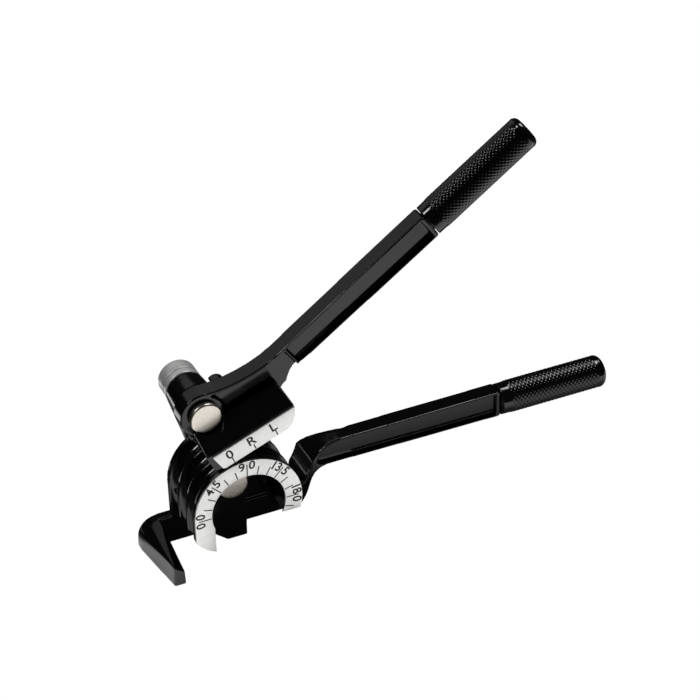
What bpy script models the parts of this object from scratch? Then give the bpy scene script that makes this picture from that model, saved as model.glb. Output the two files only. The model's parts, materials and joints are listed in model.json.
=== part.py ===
"""Manual tube bender for three tube sizes, as an assembly of separate pieces.

The tool stands upright: +X runs along the lower handle, +Z is up and the scale faces -Y.
The origin is the middle of the flat bottom edge of the lower handle's casting, straight
below the forming wheel's pivot. Metres throughout.

Two frames are used while drawing. "Tool" points are (x, y) seen from the front, measured from
the wheel's pivot, with a depth measured backwards from the front face of the scale. "Shoe"
points are (t, n): t along the straight forming shoe and n away from the wheel's pivot.
"""
import math

import bmesh
import bpy
from mathutils import Matrix, Vector

MM = 0.001
GAP = 0.3 * MM                      # air between touching pieces
RUNNING = 0.15 * MM                 # radial clearance of a pivot pin in its hole

# Forming wheel: a horseshoe with three grooves, smallest tube in front
WHEEL_INNER_R = 18.0 * MM
WHEEL_OUTER_R = 26.2 * MM
BEND_R = 27.0 * MM                  # radius of every bent tube's centre line
TUBE_RADII = (3.18 * MM, 3.97 * MM, 4.76 * MM)
TUBE_DEPTHS = (7.4 * MM, 17.1 * MM, 28.3 * MM)
GROOVE_EASE = 0.1 * MM
SCALE_THICK = 1.0 * MM
WHEEL_FRONT = SCALE_THICK + GAP
WHEEL_BACK = 33.6 * MM
LEFT_LEG_END = 19.4 * MM
RIGHT_LEG_END = 7.7 * MM

# Lower handle casting
BASE_FRONT = WHEEL_BACK + GAP
BASE_BACK = 36.0 * MM
RIB_BACK = 39.1 * MM
BEAM_THICK = 9.0 * MM
BOTTOM = 34.5 * MM                  # the flat bottom edge, below the wheel's pivot
RIB_TOP = 22.9 * MM
ARM_TOP = 19.4 * MM
PAD_FRONT = 22.0 * MM
PAD_BOTTOM = 33.0 * MM
LOWER_AXIS = -9.4 * MM
BEAM_HALF_NEAR = 6.4 * MM           # half height of both beams near the head of the tool
BEAM_HALF_FAR = 7.0 * MM            # and beside the grips
FLANGE = 1.1 * MM                   # the thin walls round the beams' pockets
POCKET_DEPTH = 3.0 * MM
BEND_BACK = 54.3 * MM               # the S-bend stands out behind the beam

# Upper handle, forming shoe and link
B_X, B_Y = -13.6 * MM, 46.6 * MM    # the upper handle's pivot
SHOE_ANGLE = math.radians(21.4)
HANDLE_ANGLE = math.radians(35.2)
HANDLE_AXIS = -9.3 * MM             # the beam passes this far below the pivot
HANDLE_FRONT = 14.0 * MM
EYE_R = 11.2 * MM
HUB_R = 9.4 * MM                    # at its back end
HUB_FRONT_R = 11.0 * MM
HUB_BACK = 36.9 * MM
SHOE_FRONT = SCALE_THICK + GAP
SHOE_BACK = 33.4 * MM
SHOE_TOP = 44.4 * MM
SHOE_BEVEL = 37.3 * MM              # the front face ends here and slopes back to the handle
SHOE_BEVEL_TOP = 43.8 * MM
SLOT_FLOOR = 36.2 * MM
TONGUE_HOLE_FRONT = 16.6 * MM
LINK_FRONT = 37.3 * MM
LINK_BACK = 41.3 * MM
LINK_HALF = 9.2 * MM

# Pivot pins, grips and fasteners
PIN_R = 4.0 * MM
HEAD_R = 7.6 * MM
HEAD_THICK = 2.6 * MM
NUT_R = 9.1 * MM
NUT_BACK = 48.9 * MM
GRIP_R = 8.1 * MM
LOWER_GRIP_LENGTH = 57.5 * MM
UPPER_GRIP_LENGTH = 60.0 * MM
SPIGOT_R = 4.3 * MM
SCREW_R = 1.5 * MM
SCREW_HEAD_R = 2.9 * MM
SPRING_PIN_R = 1.5 * MM
PIN_A_BACK = 45.0 * MM
PIN_B_BACK = 45.5 * MM
SPRING_PIN_IN = 12.0 * MM           # from the grip's mouth
SPRING_PIN_DEPTH = 2.5 * MM         # driven in from behind, this far past the spigot's middle
LOWER_GRIP_START = 146.3 * MM
UPPER_GRIP_START = 131.8 * MM

DEPTH_ZERO = -(BASE_FRONT + RIB_BACK) / 2
BEAM_MID = BASE_FRONT + BEAM_THICK / 2
HANDLE_BACK = HANDLE_FRONT + BEAM_THICK
HANDLE_MID = HANDLE_FRONT + BEAM_THICK / 2
PIN_B_FACE = HANDLE_FRONT - GAP - HEAD_THICK
PIN_A_FACE = PAD_FRONT - GAP - HEAD_THICK

ARC_STEP = math.radians(9)


# ---------------------------------------------------------------- frames and outlines

def row(x, depth, y):
    """A tool point as world coordinates, to a tenth of a micron so that shared planes agree."""
    return Vector([round(value, 7) for value in (x, DEPTH_ZERO + depth, BOTTOM + y)])


def turned(point, angle, centre=(0.0, 0.0)):
    """A 2D point turned by angle and moved to centre."""
    cos, sin = math.cos(angle), math.sin(angle)
    return (centre[0] + point[0] * cos - point[1] * sin, centre[1] + point[0] * sin + point[1] * cos)


def shoe(t, n):
    """A shoe point as a tool point."""
    return turned((t, n), SHOE_ANGLE)


def handle(u, v):
    """A point along (u) and across (v) the upper handle, from its pivot, as a tool point."""
    return turned((u, v), HANDLE_ANGLE, (B_X, B_Y))


def in_depth(point, depth):
    """A flat tool point with its depth, in the order that row takes."""
    return point[0], depth, point[1]


def arc(centre, radius, start, end):
    """Points on an arc, angles in degrees, both ends included."""
    start, end = math.radians(start), math.radians(end)
    count = max(2, math.ceil(abs(end - start) / ARC_STEP))
    return [(centre[0] + radius * math.cos(start + (end - start) * i / count),
             centre[1] + radius * math.sin(start + (end - start) * i / count))
            for i in range(count + 1)]


def millimetres(points):
    """Outline points given in millimetres, in metres."""
    return [(x * MM, y * MM) for x, y in points]


# ---------------------------------------------------------------- scene and materials

def clear_scene():
    for old in list(bpy.data.objects):
        bpy.data.objects.remove(old, do_unlink=True)


def new_collection(name):
    collection = bpy.data.collections.new(name)
    bpy.context.scene.collection.children.link(collection)
    return collection


def material(name, colour, roughness, metallic):
    finish = bpy.data.materials.new(name)
    finish.use_nodes = True
    shader = finish.node_tree.nodes["Principled BSDF"]
    shader.inputs["Base Color"].default_value = (*colour, 1.0)
    shader.inputs["Roughness"].default_value = roughness
    shader.inputs["Metallic"].default_value = metallic
    return finish


clear_scene()
PARTS = new_collection("tube_bender")
CUTTERS = new_collection("cutters")


# ---------------------------------------------------------------- modelling tools

def add_object(name, mesh, matrix=None):
    made = bpy.data.objects.new(name, mesh)
    made.matrix_world = matrix or Matrix.Identity(4)
    PARTS.objects.link(made)
    return made


def as_tool(piece):
    """Marks a piece as one that only shapes others."""
    PARTS.objects.unlink(piece)
    CUTTERS.objects.link(piece)
    piece.hide_render = True
    piece.display_type = "WIRE"
    return piece


def slab(name, outline, front, back):
    """A flat prism: an outline of tool points between two depths."""
    curve = bpy.data.curves.new(name, "CURVE")
    curve.dimensions = "2D"
    curve.fill_mode = "BOTH"
    curve.extrude = (back - front) / 2
    spline = curve.splines.new("POLY")
    spline.points.add(len(outline) - 1)
    for point, (x, y) in zip(spline.points, outline):
        point.co = (x, y, 0.0, 1.0)
    spline.use_cyclic_u = True
    guide = bpy.data.objects.new(name, curve)
    CUTTERS.objects.link(guide)
    mesh = bpy.data.meshes.new_from_object(guide.evaluated_get(bpy.context.evaluated_depsgraph_get()))
    bpy.data.objects.remove(guide)
    body = bmesh.new()
    body.from_mesh(mesh)
    for vert in body.verts:
        vert.co = row(vert.co.x, front if vert.co.z > 0 else back, vert.co.y)
    bmesh.ops.remove_doubles(body, verts=body.verts, dist=0.01 * MM)
    bmesh.ops.recalc_face_normals(body, faces=body.faces)
    body.to_mesh(mesh)
    body.free()
    return add_object(name, mesh)


def rod(name, start, end, radius, sides=40, end_radius=None):
    """A cylinder or cone between two world points."""
    start, end = Vector(start), Vector(end)
    body = bmesh.new()
    bmesh.ops.create_cone(body, cap_ends=True, segments=sides, radius1=radius,
                          radius2=radius if end_radius is None else end_radius,
                          depth=(end - start).length)
    mesh = bpy.data.meshes.new(name)
    body.to_mesh(mesh)
    body.free()
    turn = (end - start).to_track_quat("Z", "Y").to_matrix().to_4x4()
    return add_object(name, mesh, Matrix.Translation((start + end) / 2) @ turn)


def drum(name, centre, radius, front, back, sides=40):
    """A round piece along the depth, at a tool point."""
    return rod(name, row(centre[0], front, centre[1]), row(centre[0], back, centre[1]), radius, sides)


def lathe(name, profile, start, direction, steps=40):
    """A turned piece: profile points (along, radius) about a world axis through start.

    The profile begins and ends on the axis, and is swept by a Screw modifier that closes on itself.
    """
    mesh = bpy.data.meshes.new(name)
    points = [(radius, 0.0, -along) for along, radius in profile]
    mesh.from_pydata(points, [(i, i + 1) for i in range(len(points) - 1)], [])
    turn = Vector(direction).to_track_quat("-Z", "Y").to_matrix().to_4x4()
    piece = add_object(name, mesh, Matrix.Translation(start) @ turn)
    screw = piece.modifiers.new("turn", "SCREW")
    screw.steps = steps
    screw.render_steps = steps
    screw.use_merge_vertices = True
    screw.merge_threshold = 0.01 * MM
    return piece


def hull(name, points):
    """The solid stretched over some world points."""
    body = bmesh.new()
    for point in points:
        body.verts.new(point)
    bmesh.ops.convex_hull(body, input=body.verts)
    bmesh.ops.recalc_face_normals(body, faces=body.faces)
    mesh = bpy.data.meshes.new(name)
    body.to_mesh(mesh)
    body.free()
    return add_object(name, mesh)


def boolean(piece, tool, operation):
    modifier = piece.modifiers.new(operation.lower(), "BOOLEAN")
    modifier.object = as_tool(tool)
    modifier.operation = operation
    modifier.solver = "EXACT"


def join(piece, *tools):
    for tool in tools:
        boolean(piece, tool, "UNION")


def cut(piece, *tools):
    for tool in tools:
        boolean(piece, tool, "DIFFERENCE")


def finish(piece, look, pivot=None):
    """Gives a piece its material and hangs it on its joint's empty."""
    if not piece.data.materials:
        piece.data.materials.append(look)
    piece.data.shade_smooth()
    piece.data.set_sharp_from_angle(angle=math.radians(35))
    if pivot:
        bpy.context.view_layer.update()
        piece.parent = pivot
        piece.matrix_parent_inverse = pivot.matrix_world.inverted()
    return piece


def pivot_empty(name, centre, parent=None):
    empty = bpy.data.objects.new(name, None)
    empty.location = row(centre[0], LINK_FRONT, centre[1])
    CUTTERS.objects.link(empty)
    bpy.context.view_layer.update()
    if parent:
        empty.parent = parent
        empty.matrix_parent_inverse = parent.matrix_world.inverted()
        bpy.context.view_layer.update()
    return empty


# ---------------------------------------------------------------- shared shapes

def beam_outline(to_tool, near, far, middle):
    """The straight stretch of a handle, slightly deeper beside its grip."""
    return [to_tool(near, middle - BEAM_HALF_NEAR), to_tool(far, middle - BEAM_HALF_FAR),
            to_tool(far, middle + BEAM_HALF_FAR), to_tool(near, middle + BEAM_HALF_NEAR)]


def beam_pockets(name, near_end, to_tool, far, middle, front):
    """The two long recesses that leave a handle an I section; near_end closes the outline."""
    outline = near_end + [to_tool(far, middle - BEAM_HALF_FAR + FLANGE),
                          to_tool(far, middle + BEAM_HALF_FAR - FLANGE)]
    back = front + BEAM_THICK
    return (slab(name + "_front", outline, front - MM, front + POCKET_DEPTH),
            slab(name + "_rear", outline, back - POCKET_DEPTH, back + MM))


def grip(name, start, direction, length):
    """A closed sleeve over the handle's spigot, with a domed end."""
    bore_r = SPIGOT_R + GAP
    bore_end = length - 8.0 * MM
    profile = [(bore_end, 0.0), (bore_end, bore_r), (0.0, bore_r), (0.0, GRIP_R - 0.8 * MM),
               (0.8 * MM, GRIP_R)]
    round_r = 3.0 * MM
    for i in range(6):
        angle = math.radians(18 * i)
        profile.append((length - round_r + round_r * math.sin(angle),
                        GRIP_R - round_r + round_r * math.cos(angle)))
    profile.append((length, 0.0))
    return lathe(name, profile, start, direction, steps=36)


def pivot_pin(name, centre, face, tail):
    """A pin with a low domed head in front and a plain shank running backwards."""
    rim = 0.5 * MM
    profile = [(0.0, 0.0), (0.15 * MM, HEAD_R * 0.6), (rim, HEAD_R - 0.4 * MM), (rim + 0.4 * MM, HEAD_R),
               (HEAD_THICK, HEAD_R), (HEAD_THICK, PIN_R), (tail - face, PIN_R), (tail - face, 0.0)]
    return lathe(name, profile, row(centre[0], face, centre[1]), (0, 1, 0))


def ring(name, centre, outer, front, back, sides=40):
    washer = drum(name, centre, outer, front, back, sides)
    cut(washer, drum(name + "_hole", centre, PIN_R + RUNNING, front - MM, back + MM))
    return washer


def screws(name, places, front, back, look, pivot=None):
    """Countersunk screws put in from the back."""
    deep = SCREW_HEAD_R - SCREW_R
    profile = [(0.0, 0.0), (0.0, SCREW_HEAD_R), (deep, SCREW_R), (back - front, SCREW_R), (back - front, 0.0)]
    for index, (x, y) in enumerate(places):
        finish(lathe(f"{name}_{index + 1}", profile, row(x, back, y), (0, -1, 0), steps=20), look, pivot)


def screw_holes(name, places, front, back):
    """Clearance for the screws above, one cutter for each."""
    holes = []
    for index, (x, y) in enumerate(places):
        shank_r = SCREW_R + GAP
        deep = SCREW_HEAD_R - SCREW_R
        shank = drum(f"{name}_{index}", (x, y), shank_r, front, back + MM, 20)
        mouth = rod(f"{name}_mouth_{index}", row(x, back - deep, y), row(x, back + deep, y), shank_r, 20,
                    shank_r + 2 * deep)
        holes += [shank, mouth]
    return holes


# ---------------------------------------------------------------- frame: wheel, scale, lower handle

WHEEL_SCREWS = [(-22.0 * MM, -4.0 * MM), (15.6 * MM, 15.6 * MM)]


def horseshoe_outline(outer, inner):
    """The scale's outline: arcs with a long straight left leg and a short right leg."""
    right_outer = -math.degrees(math.asin(RIGHT_LEG_END / outer))
    right_inner = -math.degrees(math.asin(RIGHT_LEG_END / inner))
    left_inner_x = inner - 1.1 * MM
    turn = 180 + math.degrees(math.acos(left_inner_x / inner))
    end = [(-outer, -11.6 * MM), (-outer * 0.9, -14.9 * MM), (-outer * 0.78, -17.6 * MM),
           (-left_inner_x, -LEFT_LEG_END)]
    return arc((0, 0), outer, right_outer, 180) + end + arc((0, 0), inner, turn, right_inner)


def forming_wheel(look):
    """The grooved profile turned about the pivot, with its straight left leg below."""
    profile = [(WHEEL_INNER_R, WHEEL_FRONT), (WHEEL_OUTER_R, WHEEL_FRONT)]
    for radius, depth in zip(TUBE_RADII, TUBE_DEPTHS):
        groove_r = radius + GROOVE_EASE
        half = math.degrees(math.acos((BEND_R - WHEEL_OUTER_R) / groove_r))
        for x, y in arc((0, 0), groove_r, 180 + half, 180 - half):
            profile.append((BEND_R + x, depth + y))
    profile += [(WHEEL_OUTER_R, WHEEL_BACK), (WHEEL_INNER_R, WHEEL_BACK)]
    body = bmesh.new()
    start = math.radians(-24)
    loop = []
    for radius, depth in profile:
        loop.append(body.verts.new(row(radius * math.cos(start), depth, radius * math.sin(start))))
    face = body.faces.new(loop)
    geometry = [face] + list(face.edges) + loop
    swept = bmesh.ops.spin(body, geom=geometry, cent=row(0, 0, 0), axis=(0, -1, 0), dvec=(0, 0, 0),
                           angle=math.pi - start, steps=24)
    leg = bmesh.ops.extrude_face_region(body, geom=[g for g in swept["geom_last"]
                                                    if isinstance(g, bmesh.types.BMFace)])
    lowered = [g for g in leg["geom"] if isinstance(g, bmesh.types.BMVert)]
    bmesh.ops.translate(body, verts=lowered, vec=(0, 0, -LEFT_LEG_END - MM))
    bmesh.ops.delete(body, geom=[f for f in swept["geom_last"] if isinstance(f, bmesh.types.BMFace)],
                     context="FACES_ONLY")
    bmesh.ops.recalc_face_normals(body, faces=body.faces)
    mesh = bpy.data.meshes.new("forming_wheel")
    body.to_mesh(mesh)
    body.free()
    wheel = add_object("forming_wheel", mesh)
    deep = (WHEEL_FRONT - MM, WHEEL_BACK + MM)
    right_trim = millimetres([(10, -7.7), (35, -7.7), (35, -20), (10, -20)])
    left_trim = millimetres([(-32, -11.6), (-26.2, -11.6), (-23.6, -14.9), (-20.4, -17.6), (-16.9, -19.4),
                             (-10, -19.4), (-10, -24), (-32, -24)])
    cut(wheel, slab("wheel_right_trim", right_trim, *deep), slab("wheel_left_trim", left_trim, *deep),
        *screw_holes("wheel_screw_hole", WHEEL_SCREWS, 25.5 * MM, BASE_BACK))
    join(wheel, wheel_root())
    for radius, depth in zip(TUBE_RADII, TUBE_DEPTHS):
        cut(wheel, rod(f"run_out_{depth / MM:.0f}", row(BEND_R, depth, 0), row(BEND_R, depth, -BOTTOM),
                       radius + GROOVE_EASE, 32))
    return finish(wheel, look)


def wheel_root():
    """The wheel's right side reaches down to the rib, under a bottom that slopes to the back."""
    top, foot = -7.2 * MM, -RIB_TOP + GAP
    inner, outer = 16.8 * MM, 25.4 * MM
    front = [row(x, WHEEL_FRONT, y) for x in (inner, outer) for y in (top, top - 0.5 * MM)]
    back = [row(x, WHEEL_BACK, top) for x in (inner, outer)]
    heel = [row(x, WHEEL_BACK, foot) for x in (21.2 * MM, outer)]
    return hull("wheel_root", front + back + heel)


def stem_bend():
    """The S-bend between rib and beam: flat in front, and standing out behind where it is steep."""
    lower = [(28, -34.5), (38.6, -34.5), (40.4, -33.4), (41.9, -31.2), (43.2, -28.4), (44.5, -24.7),
             (45.6, -21.5), (47.2, -18.9), (49.8, -16.8), (53.5, -15.9), (64, -15.8)]
    upper = [(64, -3.0), (57.6, -3.5), (53.3, -4.9), (49.6, -7.2), (47.1, -9.8), (45.6, -12.3),
             (44.6, -15.6), (43.0, -19.2), (41.4, -21.8), (39.4, -22.9), (28, -22.9)]
    bend = slab("stem_bend", millimetres(lower + upper), BASE_FRONT, BEND_BACK)
    behind = BEND_BACK / MM + 3
    rise = [(20, 39.1), (36.9, 39.1), (41.4, 54.3), (41.4, behind), (20, behind)]
    fall = [(45.4, 54.3), (47.6, 51.5), (50, 49.3), (53.5, 46.8), (57.6, 44.8), (66, 42.7), (66, behind),
            (45.4, behind)]
    for name, side in (("bend_rise", rise), ("bend_fall", fall)):
        cut(bend, hull(name, [row(x * MM, depth * MM, y * MM) for x, depth in side for y in (0, -40)]))
    return bend


def lower_handle(look):
    """Casting: hook, bottom rib, wheel backing, pivot pad, S-bend, I-section beam and spigot."""
    left = millimetres([(-17, -19.4), (-31.8, -19.4), (-33.5, -21.0)])
    rib = millimetres([(-33.5, -34.5), (30, -34.5), (30, -22.9), (20, -22.9)])
    casting = slab("lower_handle", left + rib, BASE_FRONT, RIB_BACK)

    near, far = 60 * MM, LOWER_GRIP_START - GAP
    rim = 0.9 * MM
    beam = [(near, LOWER_AXIS - BEAM_HALF_NEAR), (far - rim, LOWER_AXIS - BEAM_HALF_FAR),
            (far, LOWER_AXIS - BEAM_HALF_FAR + rim), (far, LOWER_AXIS + BEAM_HALF_FAR - rim),
            (far - rim, LOWER_AXIS + BEAM_HALF_FAR), (near, LOWER_AXIS + BEAM_HALF_NEAR)]
    stem = slab("lower_stem", beam, BASE_FRONT, BASE_FRONT + BEAM_THICK)

    backing = arc((0, 0), WHEEL_OUTER_R, 0, 180) + millimetres([(-26.2, -22), (30, -24), (28.2, -20),
                                                               (26.6, -14)])
    pad = (arc((-1.3 * MM, 0), 8.7 * MM, 0, 180)
           + [(-9.9 * MM, -27.4 * MM), (-3.1 * MM, -PAD_BOTTOM), (6.8 * MM, -PAD_BOTTOM)])
    heel_r = 9.7 * MM
    finger_root = (millimetres([(-42.0, -34.5), (-31.8, -34.5)])
                   + arc((-32.1 * MM, -19.4 * MM - heel_r), heel_r, 88, 176))
    finger_tip = millimetres([(-37.7, -34.0), (-31.9, -34.0), (-32.2, -26.4), (-37.0, -23.2)])
    root_points = [row(x, depth, y) for x, y in finger_root for depth in (33 * MM, RIB_BACK)]
    tip_points = [row(x, WHEEL_FRONT, y) for x, y in finger_tip]
    join(casting, slab("wheel_backing", backing, BASE_FRONT, BASE_BACK), stem_bend(), stem,
         slab("pivot_pad", pad, PAD_FRONT, BASE_BACK), hull("hook_finger", root_points + tip_points),
         rod("lower_spigot", row(far - 4 * MM, BEAM_MID, LOWER_AXIS),
             row(LOWER_GRIP_START + LOWER_GRIP_LENGTH - 9 * MM, BEAM_MID, LOWER_AXIS), SPIGOT_R, 32))

    pocket_near = millimetres([(62, -4.2), (57, -4.9), (53.2, -6.4), (50.6, -8.6), (49.2, -11.2), (48.6, -13.9),
                               (52, -14.7)])
    pocket = (arc((0, 0), WHEEL_INNER_R - 0.6 * MM, 0, 78)
              + [(8.6 * MM, 0), (8.6 * MM, -RIB_TOP), (22.5 * MM, -RIB_TOP)])
    cut(casting, slab("backing_pocket", pocket, BASE_FRONT - MM, BASE_FRONT + 0.9 * MM),
        *beam_pockets("lower_pocket", pocket_near, lambda x, y: (x, y), 143.6 * MM, LOWER_AXIS, BASE_FRONT),
        drum("pin_a_hole", (0, 0), PIN_R + RUNNING, PAD_FRONT - MM, RIB_BACK + MM),
        *screw_holes("base_screw_hole", WHEEL_SCREWS, 30 * MM, BASE_BACK),
        spring_pin_hole("lower", "lower_pin_hole"))
    return finish(casting, look)


def spring_pin_place(grip_name):
    """Tool point and mid depth of the spring pin that keeps a grip on."""
    if grip_name == "lower":
        return (LOWER_GRIP_START + SPRING_PIN_IN, LOWER_AXIS), BEAM_MID
    return handle(UPPER_GRIP_START + SPRING_PIN_IN, HANDLE_AXIS), HANDLE_MID


def spring_pin_hole(grip_name, name):
    centre, middle = spring_pin_place(grip_name)
    return drum(name, centre, SPRING_PIN_R + GAP, middle - SPRING_PIN_DEPTH - GAP, middle + GRIP_R + MM, 16)


def spring_pin(grip_name, look, pivot=None):
    centre, middle = spring_pin_place(grip_name)
    pin = drum(grip_name + "_grip_pin", centre, SPRING_PIN_R, middle - SPRING_PIN_DEPTH,
               middle + GRIP_R - 0.5 * MM, 16)
    return finish(pin, look, pivot)


# ---------------------------------------------------------------- link

def link_plate(look, pivot):
    """A flat strap behind the wheel from one pivot to the other."""
    lean = math.degrees(math.atan2(B_Y, B_X))
    outline = (arc((0, 0), LINK_HALF, lean + 90, lean + 270)
               + arc((B_X, B_Y), LINK_HALF, lean - 90, lean + 90))
    plate = slab("link_plate", outline, LINK_FRONT, LINK_BACK)
    for name, centre in (("link_hole_a", (0, 0)), ("link_hole_b", (B_X, B_Y))):
        cut(plate, drum(name, centre, PIN_R + RUNNING, LINK_FRONT - MM, LINK_BACK + MM))
    return finish(plate, look, pivot)


def round_nut(name, centre, radius, front, back, look, pivot=None):
    """A smooth round nut with a chamfered, slotted back face."""
    edge = 0.8 * MM
    bore = PIN_R + RUNNING
    bore_deep = (back - front) * 0.6
    profile = [(bore_deep, 0.0), (bore_deep, bore), (0.0, bore), (0.0, radius - edge / 2), (edge / 2, radius),
               (back - front - edge, radius), (back - front, radius - edge), (back - front, 0.0)]
    nut = lathe(name, profile, row(centre[0], front, centre[1]), (0, 1, 0))
    half = 0.9 * MM
    x, y = centre
    slot = [(x - radius - MM, y - half), (x + radius + MM, y - half), (x + radius + MM, y + half),
            (x - radius - MM, y + half)]
    cut(nut, slab(name + "_slot", slot, back - 1.4 * MM, back + MM))
    return finish(nut, look, pivot)


# ---------------------------------------------------------------- upper handle and shoe

SHOE_SCREWS = [shoe(19.0 * MM, 41.0 * MM), shoe(33.0 * MM, 41.0 * MM)]


def upper_handle(look, pivot):
    """Casting: eye, hub, curved web, I-section beam and spigot."""
    top = millimetres([(-7, 57.9), (-1, 58.7), (5, 60.2), (11, 62.2), (17, 64.9), (22.5, 68.2), (28, 72.2)])
    beam = [handle(u * MM, HANDLE_AXIS + v) for u, v in
            ((54, BEAM_HALF_NEAR), (130.6, BEAM_HALF_FAR), (131.5, 6.1 * MM), (131.5, -6.1 * MM),
             (130.6, -BEAM_HALF_FAR), (54, -BEAM_HALF_NEAR))]
    under = millimetres([(33.8, 61.5), (31.2, 59.4), (29.3, 56.8), (28.2, 54.2), (27.5, 51.8)])
    under += [shoe(42.4 * MM, SLOT_FLOOR + 1.4 * MM), shoe(41.0 * MM, SLOT_FLOOR + GAP),
              shoe(7 * MM, SLOT_FLOOR + GAP)]
    outline = arc((B_X, B_Y), EYE_R, 240, 90) + top + beam + under
    casting = slab("upper_handle", outline, HANDLE_FRONT, HANDLE_BACK)

    b_t, b_n = turned((B_X, B_Y), -SHOE_ANGLE)
    hub = []
    for radius, depth in ((HUB_FRONT_R, HANDLE_FRONT + MM), (HUB_R, HUB_BACK)):
        ring_points = [turned(p, SHOE_ANGLE) for p in arc((b_t, b_n), radius, 0, 180)]
        ring_points += [shoe(-6.0 * MM, 38.3 * MM), shoe(b_t + HUB_R, 38.3 * MM)]
        hub += [row(x, depth, y) for x, y in ring_points]
    join(casting, hull("hub", hub),
         rod("upper_spigot", row_at(handle(127 * MM, HANDLE_AXIS)),
             row_at(handle(UPPER_GRIP_START + UPPER_GRIP_LENGTH - 9 * MM, HANDLE_AXIS)), SPIGOT_R, 32))

    web = (arc((B_X, B_Y), EYE_R - 1.5 * MM, -5, 72)
           + millimetres([(-1, 57.4), (5, 58.9), (11, 60.8), (17, 63.4), (22.2, 66.5), (26.2, 69.2),
                          (33.0, 59.6), (36, 54)])
           + [shoe(46 * MM, 34 * MM), shoe(38 * MM, 34 * MM), shoe(38 * MM, SLOT_FLOOR + 4.6 * MM),
              shoe(14 * MM, SLOT_FLOOR + 4.6 * MM)])
    pocket_near = [handle(46.5 * MM, HANDLE_AXIS + side * (BEAM_HALF_NEAR - FLANGE)) for side in (1, -1)]
    cut(casting, slab("web_front", web, HANDLE_FRONT - MM, HANDLE_FRONT + 2.2 * MM),
        slab("web_rear", web, HANDLE_BACK - 2.2 * MM, HANDLE_BACK + MM),
        *beam_pockets("upper_pocket", pocket_near, handle, 129.3 * MM, HANDLE_AXIS, HANDLE_FRONT),
        drum("pin_b_hole", (B_X, B_Y), PIN_R + RUNNING, HANDLE_FRONT - MM, HUB_BACK + MM),
        *[drum(f"tongue_hole_{i}", place, SCREW_R + GAP, TONGUE_HOLE_FRONT, HANDLE_BACK + MM, 20)
          for i, place in enumerate(SHOE_SCREWS)],
        spring_pin_hole("upper", "upper_pin_hole"))
    return finish(casting, look, pivot)


def row_at(point):
    """World point on the upper handle's mid plane."""
    return row(point[0], HANDLE_MID, point[1])


def forming_shoe(look, pivot):
    """The straight block with three grooves, slotted for the handle's tongue."""
    top = SHOE_TOP / MM
    outline = ([(-4.5, 28.7), (-3.0, 27.4), (33.0, 27.4), (36.4, 28.9), (38.8, 32.0), (40.6, 36.6), (40.2, 40.5),
                (39.2, 43.3), (37.6, top), (-4.0, top), (-5.0, 37.9)])
    block = slab("forming_shoe", [shoe(t * MM, n * MM) for t, n in outline], SHOE_FRONT, SHOE_BACK)
    boss = [shoe(*p) for p in arc((17.2 * MM, 46.4 * MM), 4.2 * MM, -60, 240)]
    join(block, slab("shoe_boss", boss, HANDLE_BACK + GAP, SHOE_BACK))
    slot = [(-12, SLOT_FLOOR / MM), (45, SLOT_FLOOR / MM), (45, 60), (-12, 60)]
    notch_end = 15.3                    # just past the hub where it is widest
    notch = [(-12, 38.0), (notch_end, 38.0), (notch_end, 60), (-12, 60)]
    cut(block, slab("tongue_slot", [shoe(t * MM, n * MM) for t, n in slot], HANDLE_FRONT - GAP,
                    HANDLE_BACK + GAP),
        slab("hub_notch", [shoe(t * MM, n * MM) for t, n in notch], HANDLE_FRONT + MM, SHOE_BACK + MM),
        drum("head_clearance", (B_X, B_Y), HEAD_R + 0.7 * MM, SHOE_FRONT - MM, HANDLE_FRONT))
    rise, run = SHOE_BEVEL_TOP - SHOE_BEVEL, HANDLE_FRONT - SHOE_FRONT
    bevel = [(SHOE_BEVEL - 0.2 * rise, SHOE_FRONT - 0.2 * run),
             (SHOE_BEVEL_TOP + 0.4 * rise, HANDLE_FRONT + 0.4 * run), (SHOE_TOP + 9 * MM, SHOE_FRONT - 4 * MM)]
    cut(block, hull("front_bevel", [row(*in_depth(shoe(t, n), depth)) for n, depth in bevel
                                    for t in (-20 * MM, 60 * MM)]))
    for index, (radius, depth) in enumerate(zip(TUBE_RADII, TUBE_DEPTHS)):
        ends = [shoe(t, BEND_R) for t in (-20 * MM, 60 * MM)]
        cut(block, rod(f"shoe_groove_{index}", row(ends[0][0], depth, ends[0][1]),
                       row(ends[1][0], depth, ends[1][1]), radius + GROOVE_EASE, 32))
    cut(block, *screw_holes("shoe_screw_hole", SHOE_SCREWS, HANDLE_BACK - MM, SHOE_BACK))
    return finish(block, look, pivot)


# ---------------------------------------------------------------- assembly

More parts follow.
